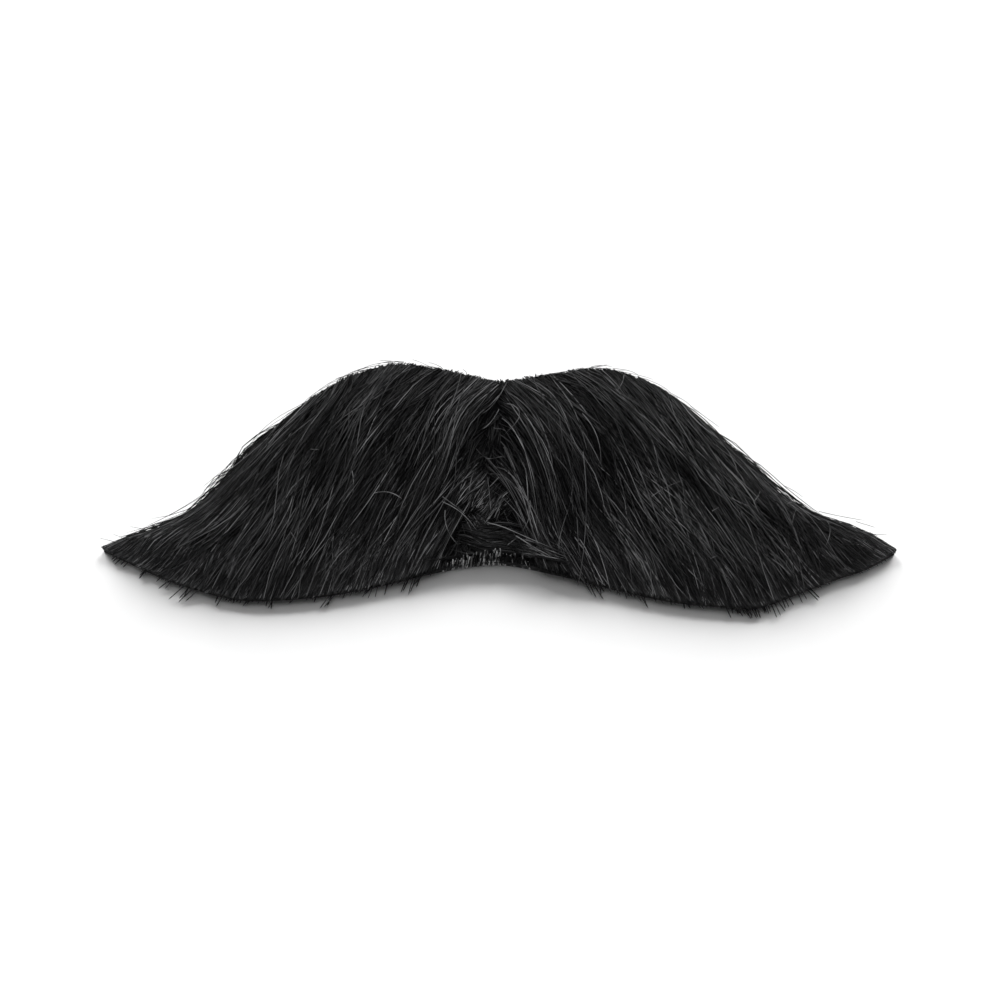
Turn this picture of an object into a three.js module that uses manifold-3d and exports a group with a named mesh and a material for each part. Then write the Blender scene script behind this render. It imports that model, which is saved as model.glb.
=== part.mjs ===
// Fake moustache: a flat sheet of knit fabric cut to a moustache's outline, with long black pile on it.
// Millimetres, +Z up. It lies on its back: +X runs from wing to wing, +Y is the nose side, -Y the lip side.
// The hair is parted in the middle and combed down and out along both wings. Below the parting is a short,
// cross-combed tuft. The pile's form is a crowned mat with locks of hair fused to it.
import * as THREE from "three";
import { mergeVertices } from "three/addons/utils/BufferGeometryUtils.js";
import Module from "manifold-3d";

const wasm = await Module();
wasm.setup();

// Driving dimensions
const FABRIC_THICKNESS = 1.0;
const PIECE_GAP = 0.3;
const SEAM = 0.4; // between two pieces of pile, along X
const PILE_FLOOR = FABRIC_THICKNESS + PIECE_GAP;

// One row for each cross-section, from the left tip to the right tip.
// x: place along the moustache. nose, lip: the outline's upper and lower edge there.
// pile: height of the combed hair above the fabric.
// nap: degrees that the hair turns outwards from straight down.
const SECTIONS = [
  { x: -70, nose: -14.0, lip: -15.0, pile: 1.8, nap: 60 },
  { x: -65, nose: -12.0, lip: -17.1, pile: 2.8, nap: 57 },
  { x: -60, nose: -9.8, lip: -19.4, pile: 3.8, nap: 53 },
  { x: -55, nose: -6.6, lip: -21.5, pile: 4.7, nap: 47 },
  { x: -50, nose: -1.0, lip: -23.3, pile: 5.5, nap: 41 },
  { x: -45, nose: 6.3, lip: -24.4, pile: 6.2, nap: 36 },
  { x: -40, nose: 12.7, lip: -24.5, pile: 6.8, nap: 32 },
  { x: -30, nose: 22.0, lip: -23.5, pile: 7.6, nap: 28 },
  { x: -20, nose: 26.3, lip: -21.2, pile: 7.8, nap: 26 },
  { x: -10, nose: 25.1, lip: -18.4, pile: 7.2, nap: 29 },
  { x: 0, nose: 22.8, lip: -17.4, pile: 6.2, nap: 36 },
  { x: 10, nose: 24.2, lip: -19.1, pile: 7.2, nap: 31 },
  { x: 20, nose: 25.1, lip: -22.1, pile: 7.8, nap: 27 },
  { x: 30, nose: 20.3, lip: -24.7, pile: 7.6, nap: 27 },
  { x: 40, nose: 10.0, lip: -25.9, pile: 6.8, nap: 29 },
  { x: 45, nose: 3.9, lip: -26.1, pile: 6.2, nap: 32 },
  { x: 50, nose: -1.5, lip: -24.2, pile: 5.5, nap: 37 },
  { x: 55, nose: -5.3, lip: -21.9, pile: 4.7, nap: 43 },
  { x: 60, nose: -8.2, lip: -19.8, pile: 3.8, nap: 49 },
  { x: 65, nose: -10.9, lip: -17.8, pile: 2.8, nap: 55 },
  { x: 70, nose: -14.3, lip: -15.3, pile: 1.8, nap: 58 },
];
const LEFT_TIP = SECTIONS[0].x;
const RIGHT_TIP = SECTIONS.at(-1).x;

// The pile across a section: low at the nose edge, full at the crest, a little lower at the cut lip edge.
const NOSE_SHARE = 0.22;
const CREST = 0.42;
const LIP_SHARE = 0.4;
const NOSE_TURN = 16; // degrees that hair beside the nose edge turns further outwards
const EDGE_EASE = 130; // degrees, from nose to lip, by which hair may turn out past the nose edge's own slant

// The parting runs from the nose edge to the top of the tuft, which widens from there to the lip edge.
const PARTING = { x: 0.4, y: 23.0 };
const TUFT_TOP = { x: -2.7, y: -0.5 };
const TUFT_LEFT = { x: -10.4, y: -17.7 };
const TUFT_RIGHT = { x: 10.7, y: -19.2 };
const CLEFT_DEPTH = 0.5; // share of the pile's height
const CLEFT_WIDTH = 3.2;
const TUFT_SHARE = 0.72; // height of the tuft as a share of the pile around it

// Locks of hair. Each comes up out of the mat at its root, runs as a ridge and ends in a point.
const LOCK_WIDTH = 5.2;
const LOCK_THICKNESS = 3.0;
const LOCK_PITCH = 5.0;
const LOCK_TAPER = 0.55;
const LOCK_SIDES = 5;
const LOCK_RINGS = 6;
const LOCK_STEPS = 10;
const ROOT_SINK = 0.9;
const TIP_SINK = 0.15;
const LOCK_FOOT = 1.2; // how far below the mat's top a lock's underside lies
const LONGEST_OVERHANG = 1.8;
const NOSE_OVERHANG = 0.5;
const DROOP = 0.9; // drop of a lock's point for each millimetre that it hangs over the lip edge
const STRAY = 7; // degrees that a lock may turn from the nap
const NARROWEST_LOCK = 0.42; // share of LOCK_WIDTH, where a wing runs out to its tip
const FULL_DEPTH = 30; // depth of the outline from which locks have their full length
const SHORTEST_LOCK = 0.85; // share of its row's length
const LONGEST_LOCK = 1.1;

// Rows of locks. root: how far down the wing a row starts, as a share of its depth.
const ROWS = [
  { root: 0.02, length: 28 },
  { root: 0.3, length: 27 },
  { root: 0.58, length: 26 },
];
const FIRST_LOCK = 7.5; // from the middle
const LAST_LOCK = 65;
const PARTING_LOCKS = [0.06, 0.3, 0.54, 0.78]; // places down the parting, as shares of its length
const PARTING_LOCK_LENGTH = 21;

// The tuft's crossing locks. turn: degrees to the right from straight down.
const TUFT_LOCKS = [
  { x: -1.2, y: -3.4, turn: -38, length: 8.5 },
  { x: 2.6, y: -6.4, turn: -52, length: 9.5 },
  { x: -6.6, y: -9.4, turn: 42, length: 9.0 },
  { x: -8.0, y: -12.4, turn: 78, length: 11.0 },
  { x: 0.4, y: -10.8, turn: 62, length: 10.0 },
  { x: -3.4, y: -13.6, turn: -12, length: 4.4 },
  { x: 3.8, y: -14.4, turn: 10, length: 4.4 },
];
const TUFT_LOCK_WIDTH = 3.4;
const TUFT_SINK = 0.7;

const MAT_STEPS_ALONG = 44;
const MAT_STEPS_ACROSS = 7;
const OUTLINE_STEPS = 56;
const FINEST_DETAIL = 0.03; // slivers thinner than this, left where locks cross, are smoothed away
const SEED_STRIDE = 7; // keeps the chance of one lock apart from its neighbours'
const EDGE_SPAN = 1; // half of the stretch over which an edge's slant is taken
const BEYOND = 60; // a length that reaches clear of the moustache on every side

const clamp = THREE.MathUtils.clamp;
const lerp = THREE.MathUtils.lerp;
const radians = THREE.MathUtils.degToRad;

// A steady stand-in for chance: a number from 0 to 1 that depends only on its seed.
function vary(seed) {
  const wave = Math.sin(seed * 12.9898) * 43758.5453;
  return wave - Math.floor(wave);
}

// A column of SECTIONS at any x, on a smooth curve through its rows. Past a tip it keeps the tip's value.
function along(column, place) {
  const x = clamp(place, LEFT_TIP, RIGHT_TIP);
  const last = SECTIONS.length - 1;
  const next = Math.max(1, SECTIONS.findIndex((row) => row.x >= x));
  const row = (i) => SECTIONS[clamp(i, 0, last)];
  const slope = (i) => {
    const [before, after] = [row(i - 1), row(i + 1)];
    return (after[column] - before[column]) / (after.x - before.x);
  };
  const [a, b] = [row(next - 1), row(next)];
  const span = b.x - a.x;
  const s = (x - a.x) / span;
  const rise = (b[column] - a[column]) / span;
  const [startBend, endBend] = [slope(next - 1) - rise, slope(next) - rise];
  return lerp(a[column], b[column], s) + span * s * (1 - s) * (startBend * (1 - s) - endBend * s);
}

// How far down a section a point lies: 0 on the nose edge, 1 on the lip edge, more past it.
function shareDown(x, y) {
  const nose = along("nose", x);
  return (nose - y) / (nose - along("lip", x));
}

// Where the parting or, below it, the tuft's middle lies at this y.
function partingAt(y) {
  return lerp(TUFT_TOP.x, PARTING.x, clamp((y - TUFT_TOP.y) / (PARTING.y - TUFT_TOP.y), 0, 1));
}

// Top of the pile above the floor, with the cleft along the parting.
function pileTop(x, y) {
  const down = clamp(shareDown(x, y), 0, 1);
  const swell = lerp(NOSE_SHARE, 1, Math.sin((Math.PI / 2) * Math.min(1, down / CREST)));
  const fall = lerp(1, LIP_SHARE, THREE.MathUtils.smoothstep(down, CREST, 1));
  const cleft = 1 - CLEFT_DEPTH * Math.exp(-(((x - partingAt(y)) / CLEFT_WIDTH) ** 2));
  return PILE_FLOOR + along("pile", x) * swell * fall * cleft;
}

// A unit vector in the plane, turned from straight down towards +X.
function heading(degrees) {
  return new THREE.Vector2(Math.sin(radians(degrees)), -Math.cos(radians(degrees)));
}

// The way that the hair lies at a point, in degrees outwards from straight down.
// Beside the nose edge it runs along that edge, where the edge is steeper than the nap.
function napAt(side, x, y) {
  const down = shareDown(x, y);
  const nap = along("nap", x) + NOSE_TURN * Math.max(0, 1 - down / CREST);
  const fall = side * (along("nose", x - EDGE_SPAN) - along("nose", x + EDGE_SPAN));
  const slant = THREE.MathUtils.radToDeg(Math.atan2(2 * EDGE_SPAN, fall));
  return Math.min(nap, slant + EDGE_EASE * down);
}

// A closed three.js geometry as a solid for joining and cutting.
function solidOf(geometry) {
  const bare = geometry.clone().deleteAttribute("normal").deleteAttribute("uv");
  const merged = mergeVertices(bare);
  const mesh = new wasm.Mesh({
    numProp: 3,
    vertProperties: new Float32Array(merged.getAttribute("position").array),
    triVerts: new Uint32Array(merged.index.array),
  });
  return new wasm.Manifold(mesh);
}

// The solid's surface as a three.js geometry with flat faces.
function geometryOf(solid) {
  const { vertProperties, triVerts, numProp, numVert } = solid.getMesh();
  const points = new Float32Array(numVert * 3);
  for (let i = 0; i < numVert; i++) {
    points.set(vertProperties.subarray(i * numProp, i * numProp + 3), i * 3);
  }
  const indexed = new THREE.BufferGeometry();
  indexed.setAttribute("position", new THREE.BufferAttribute(points, 3));
  indexed.setIndex(new THREE.BufferAttribute(triVerts, 1));
  const flat = indexed.toNonIndexed();
  flat.computeVertexNormals();
  return flat;
}

// Moves every vertex of a simple geometry to the place that a function gives it.
function reshape(geometry, place) {
  const points = geometry.getAttribute("position");
  const vertex = new THREE.Vector3();
  for (let i = 0; i < points.count; i++) {
    vertex.fromBufferAttribute(points, i);
    points.setXYZ(i, ...place(vertex));
  }
  return geometry;
}

// Points along one edge of the outline from one place to another, moved up by a distance.
function edgePoints(edge, from, to, up) {
  return Array.from({ length: OUTLINE_STEPS + 1 }, (_, i) => {
    const x = lerp(from, to, i / OUTLINE_STEPS);
    return new THREE.Vector2(x, along(edge, x) + up);
  });
}

// The moustache's outline: along the lip edge to the right, and back along the nose edge.
function outline() {
  const lipEdge = edgePoints("lip", LEFT_TIP, RIGHT_TIP, 0);
  const noseEdge = edgePoints("nose", RIGHT_TIP, LEFT_TIP, 0);
  return new THREE.Shape([...lipEdge, ...noseEdge]);
}

function backing() {
  return new THREE.ExtrudeGeometry(outline(), { depth: FABRIC_THICKNESS, bevelEnabled: false });
}

// The dense root of the pile over the whole outline: a box whose lid is the pile's crowned top.
// Its steps across lie closer together at the two edges, where the top is rounded.
function mat(top) {
  const box = new THREE.BoxGeometry(1, 1, 1, MAT_STEPS_ALONG, MAT_STEPS_ACROSS, 1);
  return solidOf(
    reshape(box, ({ x: u, y: v, z: w }) => {
      const x = lerp(LEFT_TIP, RIGHT_TIP, u + 0.5);
      const y = lerp(along("lip", x), along("nose", x), (1 + Math.sin(Math.PI * v)) / 2);
      return [x, y, w < 0 ? PILE_FLOOR : top(x, y)];
    }),
  );
}

// A lock's centre line in plan. A function gives its turn, and it stops just past the lip edge or at the tip.
function lockPath(root, length, overhang, turnAt) {
  const step = length / LOCK_STEPS;
  const points = [root];
  while (points.length <= LOCK_STEPS) {
    const from = points.at(-1);
    const to = from.clone().addScaledVector(heading(turnAt(from)), step);
    if (to.x < LEFT_TIP || to.x > RIGHT_TIP) break;
    points.push(to);
    if (to.y < along("lip", to.x) - overhang) break;
  }
  return new THREE.SplineCurve(points);
}

// A lock of hair: a sphere drawn out along its path, wide and flat, sunk at the root and pointed at the end.
// Its underside lies inside the mat.
function lock(path, width, surface, sink) {
  const sphere = new THREE.SphereGeometry(1, LOCK_SIDES, LOCK_RINGS);
  const thickness = LOCK_THICKNESS * Math.sqrt(width / LOCK_WIDTH);
  return solidOf(
    reshape(sphere, ({ x: across, y: pole, z: up }) => {
      const s = (1 - pole) / 2;
      const centre = path.getPoint(s);
      const ahead = path.getTangent(s);
      const taper = 1 - LOCK_TAPER * s;
      const offset = (across * taper * width) / 2;
      const x = centre.x - ahead.y * offset;
      const y = centre.y + ahead.x * offset;
      const hang = DROOP * Math.max(0, along("lip", x) - y);
      const ridge = (up * taper * thickness) / 2 - lerp(sink, TIP_SINK, THREE.MathUtils.smoothstep(s, 0, 1));
      const inside = Math.abs(pole) < 1 && up <= 0;
      return [x, y, surface(x, y) - hang + (inside ? -LOCK_FOOT : ridge)];
    }),
  );
}

// One lock of a wing, rooted at a point. Its length, turn and overhang differ a little from its neighbours'.
function wingLock(side, root, length) {
  const seed = root.x + SEED_STRIDE * root.y;
  const depth = along("nose", root.x) - along("lip", root.x);
  const room = clamp(depth / FULL_DEPTH, NARROWEST_LOCK, 1);
  const stray = STRAY * (2 * vary(seed) - 1);
  const turnAt = ({ x, y }) => side * (napAt(side, x, y) + stray);
  const reach = length * room * lerp(SHORTEST_LOCK, LONGEST_LOCK, vary(seed + 1));
  const path = lockPath(root, reach, LONGEST_OVERHANG * vary(seed + 2), turnAt);
  return lock(path, LOCK_WIDTH * room, pileTop, ROOT_SINK * room);
}

// Every lock of one wing: staggered rows from the nose edge to the lip edge, and a file beside the parting.
function wingLocks(side) {
  const locks = [];
  ROWS.forEach(({ root, length }, row) => {
    const stagger = (row * LOCK_PITCH) / ROWS.length;
    for (let out = FIRST_LOCK + stagger; out <= LAST_LOCK; out += LOCK_PITCH) {
      const x = side * out;
      const y = lerp(along("nose", x), along("lip", x), root);
      locks.push(wingLock(side, new THREE.Vector2(x, y), length));
    }
  });
  for (const share of PARTING_LOCKS) {
    const y = lerp(PARTING.y, TUFT_TOP.y, share);
    const x = partingAt(y) + (side * LOCK_WIDTH) / 2;
    locks.push(wingLock(side, new THREE.Vector2(x, y), PARTING_LOCK_LENGTH));
  }
  return locks;
}

function tuftTop(x, y) {
  return lerp(PILE_FLOOR, pileTop(x, y), TUFT_SHARE);
}

function tuftLocks() {
  return TUFT_LOCKS.map(({ x, y, turn, length }) => {
    const path = lockPath(new THREE.Vector2(x, y), length, 0, () => turn);
    return lock(path, TUFT_LOCK_WIDTH, tuftTop, TUFT_SINK);
  });
}

// An upright prism over a plan outline, from the foot of the pile upwards.
function prism(corners) {
  const geometry = new THREE.ExtrudeGeometry(new THREE.Shape(corners), { depth: BEYOND, bevelEnabled: false });
  return solidOf(geometry.translate(0, 0, PILE_FLOOR));
}

// The plan region of one wing, moved outwards: its side of the parting and the tuft, up to the nose edge.
function wingRegion(side, outwards) {
  const foot = side < 0 ? TUFT_LEFT : TUFT_RIGHT;
  const tip = side < 0 ? LEFT_TIP : RIGHT_TIP;
  const shift = side * outwards;
  const drop = (TUFT_TOP.y + BEYOND) / (TUFT_TOP.y - foot.y);
  return prism([
    new THREE.Vector2(tip, -BEYOND),
    new THREE.Vector2(lerp(TUFT_TOP.x, foot.x, drop) + shift, -BEYOND),
    new THREE.Vector2(TUFT_TOP.x + shift, TUFT_TOP.y),
    ...edgePoints("nose", PARTING.x + shift, tip, NOSE_OVERHANG),
  ]);
}

// The largest body of a joined solid by its outer skin, so that pockets shut in between locks are filled.
function wholeBody(solid) {
  const bodies = solid.simplify(FINEST_DETAIL).decompose();
  return bodies.reduce((a, b) => (a.volume() > b.volume() ? a : b));
}

function wing(side) {
  const joined = wingLocks(side).reduce((pile, hair) => pile.add(hair), mat(pileTop));
  return geometryOf(wholeBody(joined.intersect(wingRegion(side, SEAM / 2))));
}

// What the two wings leave between them.
function tuft() {
  const joined = tuftLocks().reduce((pile, hair) => pile.add(hair), mat(tuftTop));
  const [left, right] = [wingRegion(-1, -SEAM / 2), wingRegion(1, -SEAM / 2)];
  const overFabric = prism([
    ...edgePoints("nose", RIGHT_TIP, LEFT_TIP, NOSE_OVERHANG),
    new THREE.Vector2(LEFT_TIP, -BEYOND),
    new THREE.Vector2(RIGHT_TIP, -BEYOND),
  ]);
  return geometryOf(wholeBody(joined.intersect(overFabric).subtract(left).subtract(right)));
}

const hair = new THREE.MeshStandardMaterial({ color: 0x16161a, roughness: 0.45, metalness: 0 });
const knit = new THREE.MeshStandardMaterial({ color: 0x1c1c1e, roughness: 0.95, metalness: 0 });

function named(name, geometry, material) {
  const mesh = new THREE.Mesh(geometry, material);
  mesh.name = name;
  return mesh;
}

const moustache = new THREE.Group();
moustache.add(
  named("backing", backing(), knit),
  named("left_pile", wing(-1), hair),
  named("right_pile", wing(1), hair),
  named("centre_tuft", tuft(), hair),
);

// The origin is the middle of the whole moustache's footprint, on the surface that it lies on.
const middle = new THREE.Box3().setFromObject(moustache).getCenter(new THREE.Vector3());
moustache.position.set(-middle.x, -middle.y, 0);

export default moustache;
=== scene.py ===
"""Looks of a stick-on moustache: a sheet of knit fabric with long black pile, parted and combed outwards.

Shapes are worked out in millimetres in the plan of the solids: +X from wing to wing, +Y to the nose edge, +Z
up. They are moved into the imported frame, in metres, as each mesh is made.
"""
import math

import bpy
import numpy as np
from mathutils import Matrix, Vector


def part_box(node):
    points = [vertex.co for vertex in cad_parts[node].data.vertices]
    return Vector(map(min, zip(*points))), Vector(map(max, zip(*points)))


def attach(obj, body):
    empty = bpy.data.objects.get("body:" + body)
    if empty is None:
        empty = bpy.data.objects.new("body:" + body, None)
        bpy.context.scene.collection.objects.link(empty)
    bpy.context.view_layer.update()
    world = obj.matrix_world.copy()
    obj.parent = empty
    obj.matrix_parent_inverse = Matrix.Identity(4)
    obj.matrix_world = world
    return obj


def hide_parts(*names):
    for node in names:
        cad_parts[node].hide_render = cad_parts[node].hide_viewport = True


bl_info = {
    "name": "Stick-on Moustache",
    "version": (1, 0, 0),
    "blender": (4, 5, 0),
    "location": "View3D > Sidebar > Moustache",
    "description": "Builds a black faux-fur moustache, its knit backing and the stage that it lies on",
    "category": "Object",
}

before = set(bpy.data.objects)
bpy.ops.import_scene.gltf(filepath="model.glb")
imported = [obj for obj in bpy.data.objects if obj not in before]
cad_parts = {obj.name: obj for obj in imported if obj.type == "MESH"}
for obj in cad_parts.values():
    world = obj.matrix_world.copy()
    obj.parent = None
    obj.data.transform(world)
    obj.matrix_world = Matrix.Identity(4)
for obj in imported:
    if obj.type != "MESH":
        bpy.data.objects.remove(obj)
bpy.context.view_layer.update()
MM = 0.001

# One row for each cross-section, from the left tip to the right tip.
# x: place along the moustache. nose, lip: the outline's two edges there. pile: height of the combed hair.
# nap: degrees that the hair turns outwards from straight down.
SECTION_COLUMNS = ("x", "nose", "lip", "pile", "nap")
SECTIONS = np.array([
    (-70, -13.8, -14.1, 1.6, 68),
    (-65, -12.0, -16.8, 2.8, 65),
    (-60, -10.2, -19.4, 3.8, 60),
    (-55, -7.7, -21.5, 4.7, 50),
    (-50, -2.2, -23.3, 5.5, 38),
    (-45, 5.8, -24.4, 6.2, 31),
    (-40, 12.7, -24.5, 6.8, 28),
    (-30, 22.0, -23.5, 7.6, 26),
    (-20, 26.3, -21.2, 7.8, 26),
    (-10, 25.1, -18.4, 7.2, 29),
    (0, 22.8, -17.0, 6.2, 36),
    (10, 24.2, -19.1, 7.2, 31),
    (20, 25.1, -22.1, 7.8, 27),
    (30, 20.3, -24.7, 7.6, 27),
    (40, 10.0, -25.9, 6.8, 29),
    (45, 2.8, -26.1, 6.2, 31),
    (50, -2.9, -24.2, 5.5, 36),
    (55, -6.2, -21.9, 4.7, 47),
    (60, -8.8, -19.8, 3.8, 57),
    (65, -11.3, -17.8, 2.8, 63),
    (70, -14.5, -14.8, 1.6, 66),
], dtype=float)

# The pile across a section: low at the nose edge, full at the crest, lower at the cut lip edge.
NOSE_SHARE, CREST, LIP_SHARE = 0.22, 0.42, 0.4
LIP_DROOP, LIP_BEND = 0.8, 5.5  # how much lower the combed hair lies at the lip edge, and over what stretch
CUT_FACE_WIDE = 11.0  # how far from the middle the pile's cut face shows instead

# Turns of the hair, in degrees, on top of its section's nap.
NOSE_TURN = 2.0  # at the nose edge
EDGE_EASE, ABOVE_NOSE = 130.0, -0.2  # past that edge's slant for each share further down, and the least share
PARTING_TURN, PARTING_REACH, PARTING_FADE = -8.0, 8.0, 6.0  # at the parting, its reach, its fade at the tuft

# The parting runs from the nose edge to the top of the tuft, which widens from there to the lip edge.
PARTING = (0.4, 23.0)
TUFT_TOP = (-2.7, -0.5)
TUFT_LEFT = (-10.4, -17.7)
TUFT_RIGHT = (10.7, -19.2)
CLEFT_DEPTH, CLEFT_WIDTH = 0.5, 2.4  # share of the pile's height that the parting takes, and its width
TUFT_SHARE = 0.72  # height of the tuft's foot against the foot beside it

# Places where the hair lies steeper than the nap. wide, tall: how far the place reaches. turn: in degrees.
STEEPER_COLUMNS = ("side", "x", "y", "wide", "tall", "turn")
STEEPER = np.array([
    (1, 10.0, -6.0, 7.0, 12.0, -22.0),
    (-1, -11.0, 6.0, 5.0, 8.0, -9.0),
])

# A gap in the hair of the parting, where the near-black foot shows as painted shade: its middle,
# half its width and half its length.
SHADE_GAP = {"x": -1.2, "y": 11.5, "wide": 1.5, "tall": 8.0}

# Places where the hair is painted darker or paler, as painted shade and light, with less or more painted
# sheen. wide, tall: how far the place reaches. change: of the tone.
SHADED_COLUMNS = ("x", "y", "wide", "tall", "change")
SHADED = np.array([
    (18.0, 3.0, 5.5, 13.0, -0.35),
    (9.5, -9.0, 4.5, 8.0, -0.35),
    (-11.0, -10.0, 4.5, 6.0, -0.32),
    (-18.0, -5.0, 4.5, 7.0, -0.25),
    (-10.0, 3.0, 4.0, 7.0, -0.25),
    (10.0, 2.0, 3.5, 7.0, -0.15),
    (-22.0, -18.5, 6.0, 5.0, 0.30),
    (48.0, -17.0, 7.0, 6.0, 0.15),
    (-55.0, -16.0, 10.0, 6.0, 0.35),
])

# Groups of cut ends in the fringe below the tuft, painted pale as highlights on the cut face.
FRINGE_COLUMNS = ("x", "wide")
FRINGE = np.array([
    (-6.6, 2.8),
    (-0.4, 2.0),
])

# Bundles of hair that cross in the tuft. x, y: where a bundle starts. turn: degrees to the right from
# straight down. level: its height as a share of the pile's. tone: 0 for the darkest hair, 1 the palest;
# the pale end is painted sheen.
TUFT_COLUMNS = ("x", "y", "turn", "length", "width", "level", "tone", "hairs")
TUFT_BUNDLES = np.array([
    (3.0, -1.6, -36, 6.5, 3.4, 0.86, 0.38, 150),
    (2.6, -2.6, -38, 6.0, 2.6, 0.96, 0.92, 34),
    (-0.2, -1.2, -30, 6.5, 3.0, 0.74, 0.38, 150),
    (-0.6, -1.6, -28, 6.0, 3.0, 0.90, 0.88, 26),
    (-2.6, 4.0, -24, 9.0, 2.6, 0.80, 0.40, 120),
    (-3.0, 3.6, -26, 8.5, 2.8, 0.84, 0.86, 34),
    (-5.4, -6.6, 28, 5.0, 2.8, 0.80, 0.38, 110),
    (-4.6, -6.4, 26, 4.4, 2.0, 0.84, 0.85, 12),
    (-8.8, -11.2, 74, 11.0, 4.0, 0.84, 0.30, 240),
    (-8.2, -11.6, 80, 8.0, 3.6, 0.88, 0.66, 26),
    (2.2, -12.6, 52, 9.5, 2.6, 0.92, 0.50, 120),
    (2.6, -13.2, 53, 8.5, 2.0, 0.98, 0.88, 22),
    (4.2, -10.6, 82, 5.0, 2.4, 0.86, 0.45, 80),
    (4.6, -10.8, 84, 4.2, 2.2, 0.92, 0.80, 9),
    (-0.3, 16.0, -6, 8.0, 1.6, 0.55, 0.06, 40),
    (-1.4, 9.5, -6, 8.0, 1.8, 0.55, 0.06, 40),
])

# Loose hairs that lie across the others or stand off the slopes. x, y: root. turn: degrees to the right from
# straight down. bow: how far the middle lies to the left of a straight line.
# tone: pale tones are painted sheen.
LOOSE_COLUMNS = ("x", "y", "turn", "length", "bow", "tone")
LOOSE = np.array([
    (-22.0, -6.5, 80, 5.0, 0.7, 0.95),
    (-27.0, 11.5, -2, 15.0, 0.3, 0.80),
    (-26.0, -2.5, 2, 4.5, 0.2, 0.85),
    (-36.5, -14.0, 32, 2.0, 0.0, 0.75),
    (-29.0, -14.5, 0, 4.5, -0.2, 0.75),
    (-33.5, 2.0, 80, 1.6, 0.0, 0.85),
    (-10.0, -7.5, 55, 7.5, 0.5, 0.92),
    (-10.0, -6.5, 55, 5.0, 0.0, 0.85),
    (-9.5, -9.0, 20, 6.5, -0.8, 0.85),
    (1.5, 15.0, -5, 8.5, 2.6, 0.85),
    (-1.0, 10.0, 40, 3.5, 0.2, 0.80),
    (-4.0, 4.0, 65, 5.5, 0.0, 0.80),
    (-1.5, -0.5, 40, 9.0, 0.9, 0.85),
    (-2.0, -1.0, 5, 7.0, 0.0, 0.85),
    (0.0, -2.0, -57, 5.0, 0.0, 0.85),
    (-2.5, -1.5, -38, 8.5, 0.0, 0.95),
    (1.5, 22.0, -25, 11.0, 0.3, 0.95),
    (0.0, 14.5, -28, 6.5, 0.2, 0.90),
    (-7.0, 23.0, -12, 17.0, 0.6, 0.88),
    (-2.0, -10.0, 63, 14.5, -0.3, 0.90),
    (3.0, -13.5, 55, 7.0, 0.0, 0.95),
    (3.0, -14.0, -50, 2.0, 0.0, 0.88),
    (5.5, -7.0, -14, 6.0, 0.6, 0.88),
    (3.0, -7.0, 19, 4.5, 0.0, 0.85),
    (15.0, 1.5, -3, 25.0, 1.0, 0.85),
    (15.0, 10.0, 15, 12.0, 1.0, 0.85),
    (24.5, 11.5, 13, 18.0, 1.0, 0.90),
    (23.0, 22.5, -16, 7.0, 0.4, 0.85),
    (27.0, -7.5, 117, 6.5, 0.3, 0.85),
    (37.5, -10.5, 120, 1.5, 0.0, 0.85),
    (37.0, -19.0, 115, 1.2, 0.0, 0.80),
    (41.0, -8.0, 63, 3.5, -0.2, 0.85),
    (45.0, -8.5, 158, 3.5, -0.2, 0.85),
    (51.0, -7.5, 146, 2.2, 0.0, 0.85),
    (52.5, -9.0, -14, 4.2, -0.1, 0.80),
    (58.0, -11.0, -14, 6.5, 0.9, 0.80),
    (-47.5, 4.0, -44, 8.3, 0.0, 0.30),
    (-49.5, 0.0, -53, 17.0, 0.8, 0.40),
    (-51.0, -2.0, -55, 13.5, 0.4, 0.30),
    (-35.5, 16.5, -47, 13.0, -1.1, 0.40),
    (-37.0, 15.0, -47, 11.5, -0.6, 0.30),
    (-68.0, -13.0, -107, 3.0, 0.0, 0.20),
    (-65.0, -14.0, -125, 4.5, -0.4, 0.20),
    (-63.5, -10.5, -104, 2.1, 0.0, 0.20),
    (35.0, 16.0, 47, 7.2, 0.0, 0.40),
    (43.0, 6.5, 47, 5.7, 0.0, 0.30),
    (51.0, -1.5, 53, 4.4, 0.2, 0.30),
    (57.0, -7.0, 78, 8.5, -0.1, 0.40),
    (63.5, -9.0, 71, 3.7, 0.0, 0.30),
    (66.0, -11.5, 92, 3.0, -0.2, 0.20),
    (-19.5, 25.7, -72, 7.0, -0.9, 0.35),
    (-24.0, 24.7, -60, 7.0, -0.7, 0.30),
    (-22.0, 25.0, -64, 9.0, -0.8, 0.30),
    (-27.5, 23.0, -54, 8.0, -0.7, 0.30),
    (-31.0, 20.6, -50, 6.0, -0.4, 0.30),
    (-17.5, 25.9, -84, 5.0, -0.5, 0.40),
    (-10.5, 24.6, -118, 3.0, -0.3, 0.40),
    (-6.0, 23.2, -150, 1.6, -0.3, 0.40),
    (17.0, 24.8, 92, 4.0, 0.4, 0.40),
    (21.0, 24.3, 74, 5.0, 0.6, 0.35),
    (26.5, 22.0, 58, 6.0, 0.6, 0.30),
    (31.0, 19.0, 50, 6.5, 0.5, 0.30),
])

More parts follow.
